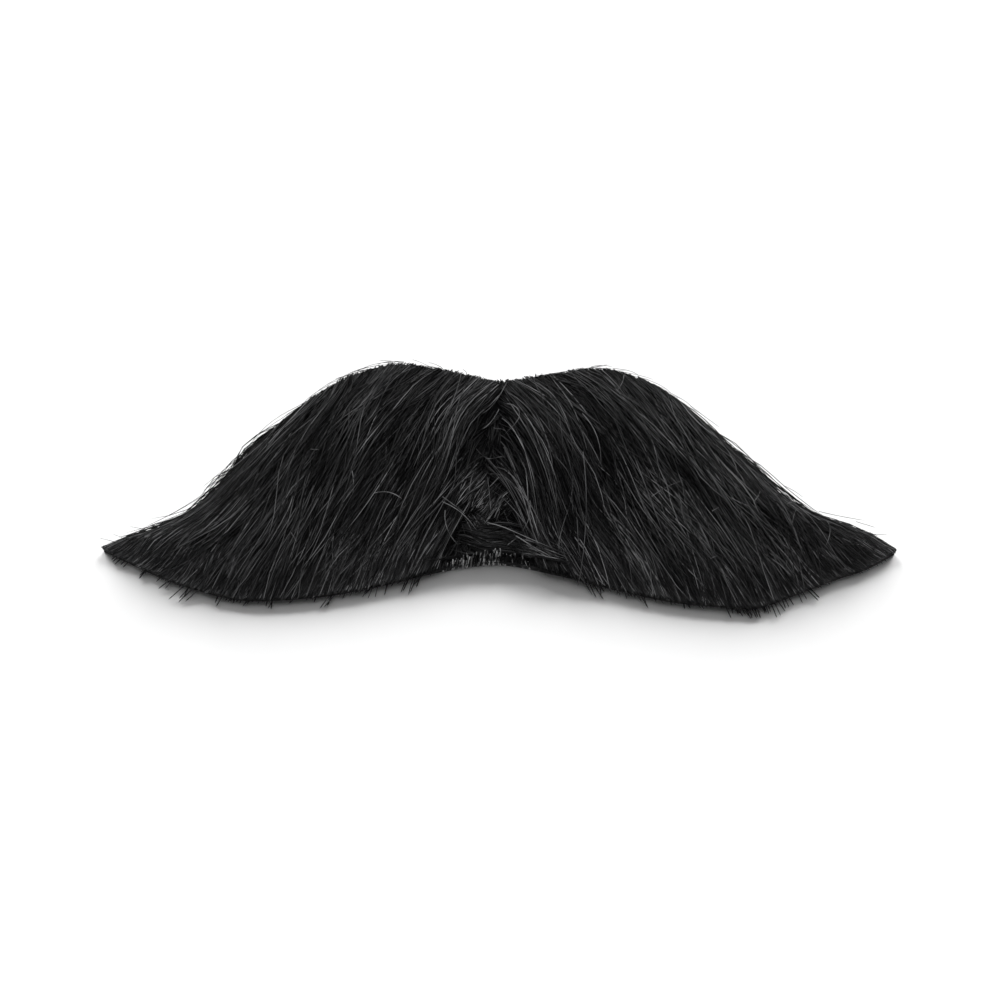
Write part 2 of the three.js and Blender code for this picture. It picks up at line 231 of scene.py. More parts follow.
# Single hairs that reach past the lip edge. middle, spread: where a group of them hangs, and how widely.
HANGING_COLUMNS = ("middle", "spread", "reach", "hairs")
HANGING = np.array([
    (-66.6, 2.4, 0.8, 5),
    (-62.1, 0.6, 1.2, 2),
    (-59.4, 0.7, 0.8, 1),
    (-57.0, 0.9, 1.4, 2),
    (-53.6, 3.0, 2.4, 6),
    (-48.5, 1.4, 1.6, 2),
    (-46.2, 2.6, 0.7, 8),
    (-43.4, 0.5, 1.2, 2),
    (-39.8, 1.6, 1.3, 3),
    (-35.3, 0.2, 1.2, 1),
    (-31.8, 0.9, 1.2, 2),
    (-28.8, 1.9, 2.2, 4),
    (-26.9, 0.7, 1.2, 1),
    (-21.9, 2.1, 1.9, 5),
    (-19.5, 0.7, 2.0, 2),
    (-14.4, 3.6, 2.6, 7),
    (15.3, 1.8, 2.6, 4),
    (17.4, 0.4, 1.6, 2),
    (21.1, 0.2, 0.9, 1),
    (24.8, 1.4, 2.2, 2),
    (30.4, 0.2, 0.8, 1),
    (32.7, 1.0, 1.1, 3),
    (39.4, 1.2, 1.8, 1),
    (42.9, 4.6, 1.6, 13),
    (46.2, 1.8, 1.2, 5),
    (47.8, 1.2, 2.0, 3),
    (49.9, 1.4, 1.4, 3),
    (53.4, 2.7, 1.7, 4),
])

# How far the combed hair reaches past the lip edge and past a tip, whose end is cut to a point.
LIP_HANG, TIP_HANG = 0.8, 0.5
TIP_ZONE = (52, 66)  # distances from the middle between which the reach changes from the one to the other
TIP_SLANT = 0.9  # how far a tip draws back for each millimetre off its middle
HANG_SINK = 0.3  # how far the hair sinks for each millimetre past an edge
CUT_SHARES = (0.3, 1)  # least and greatest share of the longest reach that a hair has

# A single hair.
COMB_STEPS = 24  # steps in which it is combed
WAVES = 1.1  # waves along it
TWIST = math.radians(70)  # usual twist from root to point
TAPER = 3  # its radius falls by one part in this many from root to point
BLUNT = 0.97  # where its last ring stands if it is cut, as a share of its length
SHORTEST = 1.5  # shorter hairs are left out
TONES, GLINTS = 16, 8  # steps of tone on the UV map, and patterns of painted glints for each
STRIP_MARGIN = 0.1  # share of a strip on that map that stays free on either side
TINY = 1e-9  # the least that a length is divided by

# Where the hair of a wing has its roots.
NOSE_ROW, NOSE_ROW_DEPTH = 0.07, 1.3  # share of the roots in a row along the nose edge, and the row's depth
PAST_MIDDLE = 4  # how far the roots may lie past the middle
LAST_ROOT = 0.97  # how far down to the lip edge they reach, as a share
WAVER = ((0.5, 0.9, 1.0), (0.4, 2.3, 0.0))  # waves of the line that the parting follows: size, rate, start
WAVER_CHANCE = 0.5  # usual shift of that line by chance
TRIES = 5  # places tried for each root
SHADE_GAP_EDGE = (0.2, 1.15)  # the gap ends by chance between these, the middle being 0

# How the hair of a wing lies. Turns are in degrees; a phase is a share of a wave.
LOCKS = 340
LOCK_TURNS = {"stray": 5.5, "curl": 11.0, "wave": 7.0}  # usual turns of a lock
OWN_TURNS = {"stray": 4.0, "curl": 10.0, "wave": 2.5, "phase": 0.1}  # and of a hair against its lock
STRAIGHT, STRAIGHT_WIDE = 0.6, 8  # how much straighter locks lie beside the parting, and how far from it
FULL_DEPTH, LEAST_ROOM = 26, 0.45  # depth of a section with hair of full length, and its least share
DRAW_POWER = 1.3  # power of the place along a hair by which it is drawn to its lock
NOSE_LIFT, ROOT_LIFT = 0.92, 0.55  # height of a root at the nose edge and inside it, as a share of the hair's
NOSE_BAND = 0.12  # how far down the one turns into the other
RISE_LENGTH = 7.0  # stretch over which a hair rises
HAIR_GAP, LOWEST = 0.1, 0.25  # gap between fabric and hair, and the lowest height of a hair
DIVE, DIVES = 0.03, (0.6, 1.6)  # rise and fall along a hair, as a share of the pile's height, and how often

# Painted sheen and tone of the hair of a wing: hair with sheen is painted paler, as painted highlights.
# A tone is 0 for the darkest hair and 1 for the palest.
SOME_SHEEN_RATIO = 2.6  # hairs with some painted sheen for each one with the most
UPPER_SHEEN = 0.9  # painted sheen of hair that starts at the nose edge, against that of hair below it
OUTER_SHEEN, PARTED_SHEEN = 0.06, 0.09  # more painted sheen towards the tips and beside the parting
SHADE_SHEEN = 3  # how strongly a change of tone changes the painted sheen
SHEEN_DROP, PLAIN_DROP = 0.01, 0.02  # how far below the top hair of less painted sheen lies, the rest at least
OUTER_ZONE = (36, 58)  # distances from the middle between which the tips' painted paler hair sets in
UPPER_BAND = 0.3  # how far down the hair of the nose edge reaches, as a share
PARTED_WIDE, PARTED_FADE = 3.6, (-4, 4)  # width of the hair beside the parting, and the y where it fades
CREST_TONE, CREST_WIDE = 0.2, 14  # painted sheen, paler at the top of the parting, and how far it reaches
# Usual tone, and the painted light: paler hair at the nose edge and beside the parting.
BASE_TONE, LOWER_TONE, PARTED_TONE = 0.14, -0.04, 0.2
OUTER_TONE = {-1: 0.6, 1: 0.25}  # how much paler the left and the right tip are painted, standing in for light
TONE_CHANCE, MOST_TONE = 0.14, 0.6  # usual difference between hairs, and the palest without painted sheen
# Tones of hair with some painted sheen and with the most.
SOME_SHEEN_TONES, MOST_SHEEN_TONES = (0.42, 0.7), (0.66, 1.0)

# The two layers of a wing's hair. stops: points along a hair. low, high: its height as a share of the pile's.
# lengths: the shortest and the longest.
LAYERS = {
    "under": {"stops": 5, "low": 0.25, "high": 0.95, "lengths": (10, 22)},
    "top": {"stops": 8, "low": 0.88, "high": 1.06, "lengths": (17, 30)},
}
UNDER_TONE = 0.5  # tone of the lower layer against the upper, painted darker as shade beneath it

# The sheet's grid, and the foot of the pile.
SHEET_STOPS, SHEET_ROWS, FOOT_ROWS = 141, 9, 41
FOOT_NOSE, FOOT_SHARE = 0.7, 0.4  # its height at the nose edge and below, as a share of the hair's
FOOT_FALL = (0.02, 0.16)  # how far down the one turns into the other
LIP_INSET, NOSE_INSET = 1.2, 0.4  # how far it lies inside the two edges where the moustache is deepest
FOOT_GAP, FOOT_LEAST = 0.02, 0.05  # its gap to the fabric, and its least height above it

# Numbers of hairs: those that fill the tuft, the bristles of the two edges, and the whiskers.
TUFT_HAIRS, LIP_BRISTLES, NOSE_BRISTLES, WHISKERS = 1100, 1200, 360, 120

# The stage: half the floor's width, the camera's aim and its lens in millimetres, and its range in metres.
FLOOR_HALF = 12000.0
AIM = (0.203, -2.873, 0.0)
LENS, SENSOR, CLIP = 100, 36, (0.01, 20)


def column(name):
    """One column of SECTIONS."""
    return SECTIONS[:, SECTION_COLUMNS.index(name)]


LEFT_TIP, RIGHT_TIP = column("x")[[0, -1]]


def named_rows(table, names):
    """The rows of a table, each as its values by column name."""
    return [dict(zip(names, row)) for row in table]


def hair_rows(table, names):
    """A table's columns by name, with each row repeated for every hair that it stands for. The column
    "share" is the hair's place among those of its row, from 0 to 1."""
    hairs = table[:, names.index("hairs")].astype(int)
    columns = dict(zip(names, np.repeat(table, hairs, axis=0).T))
    columns["share"] = np.concatenate([(np.arange(number) + 0.5) / number for number in hairs])
    return columns


def along(name, x):
    """A column of SECTIONS at places x: the cubic between two rows whose slope at a row is that of its
    neighbours."""
    rows, values = column("x"), column(name)
    slopes = np.empty_like(values)
    slopes[1:-1] = (values[2:] - values[:-2]) / (rows[2:] - rows[:-2])
    slopes[0] = (values[1] - values[0]) / (rows[1] - rows[0])
    slopes[-1] = (values[-1] - values[-2]) / (rows[-1] - rows[-2])
    x = np.clip(x, LEFT_TIP, RIGHT_TIP)
    after = np.clip(np.searchsorted(rows, x), 1, len(rows) - 1)
    before = after - 1
    span = rows[after] - rows[before]
    s = (x - rows[before]) / span
    rise = (values[after] - values[before]) / span
    bend = (slopes[before] - rise) * (1 - s) - (slopes[after] - rise) * s
    return values[before] + rise * span * s + span * s * (1 - s) * bend


def nose_slope(x):
    """Slope of the nose edge, from its places a millimetre to either side."""
    return (along("nose", x + 1) - along("nose", x - 1)) / 2


def share_down(x, y):
    """How far down its section a point lies: 0 on the nose edge, 1 on the lip edge."""
    nose = along("nose", x)
    return (nose - y) / (nose - along("lip", x))


def parting_at(y):
    """x of the parting's straight line at y, held at its ends."""
    share = np.clip((y - TUFT_TOP[1]) / (PARTING[1] - TUFT_TOP[1]), 0, 1)
    return TUFT_TOP[0] + share * (PARTING[0] - TUFT_TOP[0])


def smooth(value, low, high):
    """0 below low, 1 above high, and the cubic 3t^2 - 2t^3 between."""
    t = np.clip((value - low) / (high - low), 0, 1)
    return t * t * (3 - 2 * t)


def bell(value, middle, wide):
    """1 at the middle, less to both sides: e to the power of minus the square of the widths that a value
    lies off."""
    return np.exp(-(((value - middle) / wide) ** 2))


def off_place(x, y, place):
    """Square of how far a point lies off a place, counted in the place's own width and height."""
    return ((x - place["x"]) / place["wide"]) ** 2 + ((y - place["y"]) / place["tall"]) ** 2


def pile_height(x, y):
    """Height of the hair's top above the fabric: a quarter sine up to the crest, a smooth fall to the lip,
    less the bell-shaped cleft along the parting."""
    down = np.clip(share_down(x, y), 0, 1)
    swell = NOSE_SHARE + (1 - NOSE_SHARE) * np.sin(np.pi / 2 * np.minimum(1, down / CREST))
    fall = 1 + (LIP_SHARE - 1) * smooth(down, CREST, 1)
    cleft = 1 - CLEFT_DEPTH * bell(x, parting_at(y), CLEFT_WIDTH)
    return along("pile", x) * swell * fall * cleft


def hair_height(x, y):
    """Height of the combed hair: the pile's, bent down to the fabric over the last stretch before the lip
    edge, except in the middle, where the pile's cut face shows."""
    bend = 1 - smooth(y - along("lip", x), 0, LIP_BEND)
    return pile_height(x, y) * (1 - LIP_DROOP * bend * (1 - bell(x, 0, CUT_FACE_WIDE)))


def nap(side, x, y):
    """Degrees that the hair turns outwards from straight down: the section's own, more beside the nose edge,
    less beside the parting and in the places of STEEPER, and at the nose edge no more than its slant."""
    down = share_down(x, y)
    fade = smooth(y, TUFT_TOP[1] - PARTING_FADE, TUFT_TOP[1] + PARTING_FADE)
    beside_parting = PARTING_TURN * bell(x, parting_at(y), PARTING_REACH) * fade
    turn = along("nap", x) + NOSE_TURN * np.maximum(0, 1 - down / CREST) + beside_parting
    for place in named_rows(STEEPER, STEEPER_COLUMNS):
        turn = turn + np.where(side == place["side"], place["turn"], 0) * np.exp(-off_place(x, y, place))
    slant = np.degrees(np.arctan2(1, -side * nose_slope(x)))
    return np.minimum(turn, slant + EDGE_EASE * np.maximum(down, ABOVE_NOSE))


def in_tuft(x, y):
    """True inside the triangle that widens from the tuft's top to the lip edge."""
    left, right = (
        TUFT_TOP[0] + (TUFT_TOP[1] - y) / (TUFT_TOP[1] - corner[1]) * (corner[0] - TUFT_TOP[0])
        for corner in (TUFT_LEFT, TUFT_RIGHT))
    return (y < TUFT_TOP[1]) & (x > left) & (x < right)


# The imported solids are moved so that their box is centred. The backing's nose edge, taken at every quarter of
# a millimetre, gives how far.
SHIFT = np.array([
    (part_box("backing")[0][0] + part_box("backing")[1][0]) / 2,
    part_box("backing")[1][1] - along("nose", np.arange(LEFT_TIP, RIGHT_TIP, 0.25)).max() * MM,
    0.0,
])


def add_mesh(name, points, faces, material, smooth_faces=True):
    """An object at the origin from points in millimetres and faces of three or four corners."""
    mesh = bpy.data.meshes.new(name)
    mesh.vertices.add(len(points))
    mesh.vertices.foreach_set("co", (points * MM + SHIFT).astype(np.float32).ravel())
    mesh.loops.add(faces.size)
    mesh.loops.foreach_set("vertex_index", faces.astype(np.int32).ravel())
    mesh.polygons.add(len(faces))
    mesh.polygons.foreach_set("loop_start", np.arange(0, faces.size, faces.shape[1], dtype=np.int32))
    mesh.polygons.foreach_set("use_smooth", np.full(len(faces), smooth_faces))
    mesh.update(calc_edges=True)
    mesh.materials.append(material)
    piece = bpy.data.objects.new(name, mesh)
    bpy.context.scene.collection.objects.link(piece)
    return piece


def hair_faces(rings):
    """Faces of one hair, and the places of their corners on its strip of the UV map: u runs round the hair,
    v along it. Each wall between two rings is two triangles; three more meet at the point, and one closes
    the root."""
    ring, corner = np.meshgrid(np.arange(rings - 1), np.arange(3), indexing="ij")
    a, b = (ring * 3 + corner).ravel(), (ring * 3 + (corner + 1) % 3).ravel()
    walls = np.concatenate([np.stack([a, a + 3, b], 1), np.stack([b, a + 3, b + 3], 1)])
    last, tip = (rings - 1) * 3, rings * 3
    ends = np.array([(last, tip, last + 1), (last + 1, tip, last + 2), (last + 2, tip, last), (0, 1, 2)])
    u, v = corner.ravel() / 3, ring.ravel() / rings
    du, dv = 1 / 3, 1 / rings
    wall_map = np.concatenate([
        np.stack([u, v, u, v + dv, u + du, v], 1),
        np.stack([u + du, v, u, v + dv, u + du, v + dv], 1),
    ])
    high = 1 - dv
    end_map = [(i * du, high, (i + 0.5) * du, 1, (i + 1) * du, high) for i in range(3)]
    end_map.append((0, 0, du, 0, du, dv / 4))
    return np.concatenate([walls, ends]), np.concatenate([wall_map, end_map]).reshape(-1, 2)


def add_hairs(name, chance, paths, width, tone, material, across=(0, 0, 1)):
    """Hairs as one mesh of closed three-sided fibres, flat-faced so that they glint. A ring of three points
    stands round every point of a path but the last, where the hair ends in a point. The ring is turned by
    chance and twists along the hair, and its radius falls evenly from root to point. Each tone and pattern of
    painted glints has a strip of the UV map, so hairs that look alike share their place on it."""
    hairs, stops = paths.shape[:2]
    rings = stops - 1
    ahead = np.diff(paths, axis=1)
    ahead = np.concatenate([ahead[:, :1], (ahead[:, 1:] + ahead[:, :-1]) / 2], axis=1)
    ahead /= np.maximum(np.linalg.norm(ahead, axis=2, keepdims=True), TINY)
    sideways = np.cross(ahead, np.asarray(across, dtype=float))
    sideways /= np.maximum(np.linalg.norm(sideways, axis=2, keepdims=True), TINY)
    upwards = np.cross(sideways, ahead)
    share = np.arange(rings) / rings
    roll = chance.uniform(0, 2 * np.pi, (hairs, 1)) + chance.normal(0, TWIST, (hairs, 1)) * share
    angle = roll[:, :, None] + np.arange(3) * 2 * np.pi / 3
    radius = (width[:, None] / 2) * (1 - share / TAPER)
    spread = np.cos(angle)[..., None] * sideways[:, :, None] + np.sin(angle)[..., None] * upwards[:, :, None]
    round_path = (paths[:, :-1, None] + radius[:, :, None, None] * spread).reshape(hairs, rings * 3, 3)
    points = np.concatenate([round_path, paths[:, -1:]], axis=1)

    one, one_map = hair_faces(rings)
    faces = (one + (np.arange(hairs) * points.shape[1])[:, None, None]).reshape(-1, 3)
    strip = np.clip((tone * TONES).astype(int), 0, TONES - 1) * GLINTS + chance.integers(0, GLINTS, hairs)
    places = np.repeat(one_map[None], hairs, axis=0)
    inside = STRIP_MARGIN + (1 - 2 * STRIP_MARGIN) * places[:, :, 0]
    places[:, :, 0] = (strip[:, None] + inside) / (TONES * GLINTS)

    piece = add_mesh(name, points.reshape(-1, 3), faces, material, smooth_faces=False)
    for layer in ("strand", "OFBake"):
        piece.data.uv_layers.new(name=layer).data.foreach_set("uv", places.astype(np.float32).ravel())
    return piece


def comb(side, roots, length, stray, curl, wave, phase):
    """Centre lines in plan from their roots: even steps along the nap, turned by each hair's own stray, by
    its curl, which grows evenly along it, and by its wave, a sine along it."""
    place = roots.copy()
    path = [place]
    for step in range(COMB_STEPS):
        s = step / COMB_STEPS
        own = stray + curl * (s - 0.5) + wave * np.sin(2 * np.pi * (WAVES * s + phase))
        turn = np.radians(nap(side, place[:, 0], place[:, 1]) + own)
        way = np.stack([side * np.sin(turn), -np.cos(turn)], axis=1)
        place = place + way * (length / COMB_STEPS)[:, None]
        path.append(place)
    return np.stack(path, axis=1)


def overhang(x, y):
    """How far a point lies past the lip edge, or past a tip, whose end is a point: the two slants of an
    arrowhead."""
    off = np.abs(y - along("nose", RIGHT_TIP * np.sign(x)))
    return np.maximum(along("lip", x) - y, np.abs(x) - RIGHT_TIP + TIP_SLANT * off)


def cut(paths, own):
    """Share of each path up to where it has passed the lip edge or a tip by its own share of the longest
    reach."""
    x, y = paths[..., 0], paths[..., 1]
    reach = LIP_HANG + (TIP_HANG - LIP_HANG) * smooth(np.abs(x), *TIP_ZONE)
    past = overhang(x, y) - reach * own[:, None]
    steps = paths.shape[1] - 1
    first = np.where((past > 0).any(axis=1), (past > 0).argmax(axis=1), steps)
    every = np.arange(len(paths))
    before, after = past[every, np.maximum(first - 1, 0)], past[every, first]
    part = np.where(after > 0, np.clip(-before / np.maximum(after - before, TINY), 0, 1), 1)
    return np.clip((first - 1 + part) / steps, 0, 1)


def stops_along(share, stops):
    """Where the stops of hairs stand, as shares of their paths: at even steps if a hair ends by itself, and
    with a short last step, which makes its end blunt, if it is cut."""
    even = np.linspace(0, 1, stops)
    blunt = np.append(np.linspace(0, BLUNT, stops - 1), 1)
    return np.where((share < 1)[:, None], blunt, even) * share[:, None]


def points_along(paths, at):
    """Each path's points at the given shares of it, on straight lines between its own."""
    steps = paths.shape[1] - 1
    low = np.minimum((at * steps).astype(int), steps - 1)
    part = (at * steps - low)[..., None]
    every = np.arange(len(paths))[:, None]
    return paths[every, low] * (1 - part) + paths[every, low + 1] * part


def shade(x, y):
    """Painted shade and light in the hair's tone at a place: the sum of the bell-shaped places in SHADED."""
    total = np.zeros_like(x)
    for place in named_rows(SHADED, SHADED_COLUMNS):
        total = total + place["change"] * np.exp(-off_place(x, y, place))
    return total


def wing_roots(chance, side, count):
    """Roots spread evenly by chance over one wing's share of the outline, with more in a row along the nose
    edge. They keep to their side of a line that wavers about the parting, and off the gap in it where the
    near-black foot shows as painted shade."""
    tip = LEFT_TIP if side < 0 else RIGHT_TIP
    tries = count * TRIES
    x = chance.uniform(min(tip, -side * PAST_MIDDLE), max(tip, -side * PAST_MIDDLE), tries)
    y = chance.uniform(column("lip").min(), column("nose").max(), tries)
    in_row = chance.random(tries) < NOSE_ROW
    y = np.where(in_row, along("nose", x) - chance.uniform(0, NOSE_ROW_DEPTH, tries), y)
    down = share_down(x, y)
    waver = sum(size * np.sin(rate * y + start) for size, rate, start in WAVER)
    waver = waver + chance.normal(0, WAVER_CHANCE, tries)
    shade_gap = off_place(x, y, SHADE_GAP) < chance.uniform(*SHADE_GAP_EDGE, tries)
    own_side = (x - parting_at(y) - waver) * side > 0
    kept = (down > 0) & (down < LAST_ROOT) & own_side & ~in_tuft(x, y) & ~shade_gap
    return np.stack([x, y], axis=1)[kept][:count]


def lock_guides(chance, side, count):
    """The locks that a wing's hair gathers into: where each starts, how it strays, curls and lifts, and its
    painted sheen. Those that stand high are painted paler and with more sheen, and low ones darker, as
    painted light and shade; those beside the parting lie straighter."""
    roots = wing_roots(chance, side, count)
    count = len(roots)
    high = chance.random(count)
    free = 1 - STRAIGHT * bell(roots[:, 0], parting_at(roots[:, 1]), STRAIGHT_WIDE)
    turns = {name: chance.normal(0, usual, count) * free for name, usual in LOCK_TURNS.items()}
    return turns | {
        "root": roots,
        "phase": chance.random(count),
        "sheen": np.clip(chance.gamma(1.2, 0.058, count) * (0.3 + 1.3 * high), 0.005, 0.3),
        "draw": chance.uniform(0.3, 0.9, count),
        "lift": 0.82 + 0.24 * high,
        "tone": np.clip(chance.normal(0.09, 0.13, count) + 0.2 * high, 0, MOST_TONE),
    }


def hair_layer(chance, side, count, guides, stops, low, high, lengths):
    """Paths and tones of one layer of a wing's hair. Each hair is combed from its root and drawn sideways
    to the nearest lock's line, more towards its point. It rises from the fabric, by one less a falling
    exponential, to its own share of the pile's height, with a low sine along it. Hairs with the most painted
    sheen lie highest and are painted the palest, and the tone is painted paler or darker by place, as painted
    light and shade."""
    roots = wing_roots(chance, side, count)
    count = len(roots)
    x, y = roots.T
    down = share_down(x, y)
    mine = ((roots[:, None] - guides["root"][None]) ** 2).sum(axis=2).argmin(axis=1)
    offset = roots - guides["root"][mine]
    room = np.clip((along("nose", x) - along("lip", x)) / FULL_DEPTH, LEAST_ROOM, 1)
    length = chance.uniform(*lengths, count) * room
    turns = {name: chance.normal(0, usual, count) + guides[name][mine] for name, usual in OWN_TURNS.items()}
    paths = comb(side, roots, length, **turns)
    share = cut(paths, chance.uniform(*CUT_SHARES, count))
    kept = share * length > SHORTEST

    s = stops_along(share, stops)
    plan = points_along(paths, s)
    turn = np.radians(nap(side, plan[..., 0], plan[..., 1]))
    normal = np.stack([np.cos(turn), side * np.sin(turn)], axis=2)
    beside = (normal * offset[:, None]).sum(axis=2)
    plan = plan - normal * (beside * guides["draw"][mine][:, None] * s**DRAW_POWER)[..., None]

    # Painted light and shade: tone and sheen change with the place along the wing.
    outer, lower = smooth(np.abs(x), *OUTER_ZONE), smooth(down, 0, UPPER_BAND)
    parted = bell(x, parting_at(y), PARTED_WIDE) * smooth(y, *PARTED_FADE)
    middle = plan[:, stops // 2]
    change = shade(middle[:, 0], middle[:, 1]) + CREST_TONE * bell(x, 0, CREST_WIDE) * (1 - lower)
    sheen = guides["sheen"][mine] * (UPPER_SHEEN + (1 - UPPER_SHEEN) * lower)
    sheen = sheen + OUTER_SHEEN * outer + PARTED_SHEEN * parted
    # Hair with painted sheen gets the palest tones and lies highest.
    sheen_rank = chance.random(count) / (sheen * np.exp(SHADE_SHEEN * change))
    most_sheen, some_sheen = sheen_rank < 1, sheen_rank < SOME_SHEEN_RATIO

    hang = np.maximum(0, overhang(plan[..., 0], plan[..., 1]))
    foot = NOSE_LIFT + (ROOT_LIFT - NOSE_LIFT) * smooth(down, 0, NOSE_BAND)[:, None]
    rise = foot + (1 - foot) * (1 - np.exp(-(s * length[:, None]) / RISE_LENGTH))
    top = hair_height(plan[..., 0], plan[..., 1]) * guides["lift"][mine][:, None]
    dive = np.sin(2 * np.pi * (chance.uniform(*DIVES, count)[:, None] * s + chance.random(count)[:, None]))
    level = np.where(some_sheen, high - SHEEN_DROP * sheen_rank, chance.uniform(low, high - PLAIN_DROP, count))
    z = fabric_top() + HAIR_GAP + top * (level[:, None] + DIVE * dive) * rise - HANG_SINK * hang

    tone = guides["tone"][mine] + chance.normal(0, TONE_CHANCE, count) + OUTER_TONE[side] * outer
    tone = tone + BASE_TONE + LOWER_TONE * lower + PARTED_TONE * parted + change
    tone = np.where(some_sheen, chance.uniform(*SOME_SHEEN_TONES, count), np.clip(tone, 0, MOST_TONE))
    tone = np.where(most_sheen, chance.uniform(*MOST_SHEEN_TONES, count), tone)
    paths = np.concatenate([plan, np.maximum(z, LOWEST)[..., None]], axis=2)
    return paths[kept], tone[kept]


def tuft_filling(chance, count=TUFT_HAIRS, last_root=0.98):
    """Short dark hairs that fill the tuft, by chance, each with its root, turn, length, level and tone."""
    tries = count * 4
    x = chance.uniform(TUFT_LEFT[0], TUFT_RIGHT[0], tries)
    y = chance.uniform(TUFT_RIGHT[1], TUFT_TOP[1], tries)
    kept = in_tuft(x, y) & (share_down(x, y) < last_root)
    number = kept.sum()
    hair = {
        "x": x[kept],
        "y": y[kept],
        "turn": chance.normal(0, 38, number),
        "length": chance.uniform(3, 7, number),
        "level": chance.uniform(0.3, 0.75, number),
        "tone": chance.uniform(0.0, 0.25, number),
    }
    return {name: values[:count] for name, values in hair.items()}


def tuft_bundled(chance):
    """The hairs of the tuft's bundles, each by chance beside its bundle's line and a little off its turn."""
    pick = hair_rows(TUFT_BUNDLES, TUFT_COLUMNS)
    number = len(pick["x"])
    turn = np.radians(pick["turn"])
    beside = chance.normal(0, 0.36, number) * pick["width"]
    back = chance.uniform(-0.15, 0.35, number) * pick["length"]
    return {
        "x": pick["x"] + np.cos(turn) * beside + np.sin(turn) * back,
        "y": pick["y"] + np.sin(turn) * beside - np.cos(turn) * back,
        "turn": pick["turn"] + chance.normal(0, 6, number),
        "length": pick["length"] * chance.uniform(0.55, 1.0, number),
        "level": pick["level"] * chance.uniform(0.85, 1.05, number),
        "tone": np.clip(pick["tone"] + chance.normal(0, 0.15, number), 0, 1),
    }


def tuft_paths(chance, hair, stops=6, lip_gap=1.0, curl=14, arch_start=0.4, arch_length=1.6):
    """Centre lines of the tuft's hairs: even steps by each hair's turn, which curls evenly along it, held
    inside the lip edge. They rise to their level by one less a falling exponential."""
    s = np.linspace(0, 1, stops)[None]
    length = hair["length"][:, None]
    turn = np.radians(hair["turn"][:, None] + chance.normal(0, curl, (len(length), 1)) * (s - 0.5))
    px = hair["x"][:, None] + np.cumsum(np.sin(turn) * (length / (stops - 1)), axis=1)
    py = hair["y"][:, None] - np.cumsum(np.cos(turn) * (length / (stops - 1)), axis=1)
    py = np.maximum(py, along("lip", px) + lip_gap)
    arch = 1 - np.exp(-(s * length + arch_start) / arch_length)
    z = fabric_top() + HAIR_GAP + pile_height(px, py) * hair["level"][:, None] * arch
    return np.stack([px, py, z], axis=2)


def bristles(x, y, z, height, lean, tone):
    """Paths, widths and tones of straight hairs that stand up: each from its foot by its height, and by its
    lean times that. The paler ones are wider."""
    s = np.array([0, 0.5, 0.93, 1])[None, :, None]
    foot = np.stack([x, y, np.full_like(x, z)], axis=1)[:, None]
    reach = np.concatenate([lean * height[:, None], height[:, None]], axis=1)[:, None]
    return foot + reach * s, 0.9 + tone, tone


def lip_bristles(chance, count=LIP_BRISTLES, middle=-1, spread=8, wide=9):
    """Paths, widths and tones of the cut hairs at the middle of the lip edge, by chance. They are tallest
    in the middle, by a bell, and lean inwards; the pale ones, painted highlights on the cut face, stand in
    the groups of FRINGE."""
    x = chance.normal(middle, spread, count)
    grouped = sum(bell(x, group["x"], group["wide"]) for group in named_rows(FRINGE, FRINGE_COLUMNS))
    pale = chance.random(count) < 0.03 + 0.13 * grouped
    tone = np.where(pale, chance.uniform(0.72, 1, count), chance.uniform(0, 0.5, count))
    inside = np.where(pale, chance.uniform(-0.15, 0.1, count), chance.uniform(0.1, 0.6, count))
    own = np.where(pale, chance.uniform(0.7, 1.2, count), chance.uniform(0.5, 1, count))
    height = (1.3 + 1.7 * bell(x, middle, wide)) * own
    lean = chance.normal(0, 0.08, (count, 2)) + np.stack([-0.025 * x, np.where(pale, 0.3, 0.1)], axis=1)
    return bristles(x, along("lip", x) + inside, 0.15, height, lean, tone)


def nose_bristles(chance, count=NOSE_BRISTLES, middle=1, spread=6):
    """Paths, widths and tones of the cut hairs where the parting meets the nose edge, by chance. About a
    third are painted pale, as highlights from the light behind them.
    """
    x = chance.normal(middle, spread, count)
    pale = chance.random(count) < 0.35
    tone = np.where(pale, chance.uniform(0.75, 1, count), chance.uniform(0, 0.4, count))
    y = along("nose", x) - chance.uniform(0.1, 1.0, count)
    height, lean = chance.uniform(0.6, 1.4, count), chance.normal(0, 0.25, (count, 2))
    return bristles(x, y, fabric_top() - 0.1, height, lean, tone)


def whiskers(chance, count=WHISKERS, zone=(7, 66), tips=(58, 66), stops=9):
    """Centre lines of short hairs that stand off the slopes. Each starts just inside the nose edge, runs
    along it turned off by its own angle, which is wider at the tips, and bends back by a parabola."""
    side = np.where(chance.random(count) < 0.5, -1, 1)
    x = side * chance.uniform(*zone, count)
    tip = smooth(np.abs(x), *tips)
    off = np.radians(chance.gamma(2, 3, count) + 10 * tip)
    turn = np.arctan(side * nose_slope(x)) + off
    length = chance.uniform(2.5, 7.0, count) * (1 - 0.4 * tip)
    s = np.linspace(0, 1, stops)[None]
    run = length[:, None] * s
    back = (chance.uniform(0.2, 1.0, count) * length * np.sin(off))[:, None] * s**2
    px = x[:, None] + (side * np.cos(turn))[:, None] * run
    py = (along("nose", x) - chance.uniform(0.3, 0.9, count))[:, None] + np.sin(turn)[:, None] * run - back
    z = fabric_top() + HAIR_GAP + pile_height(px, py) * chance.uniform(0.3, 0.9, count)[:, None]
    return np.stack([px, py, z], axis=2)


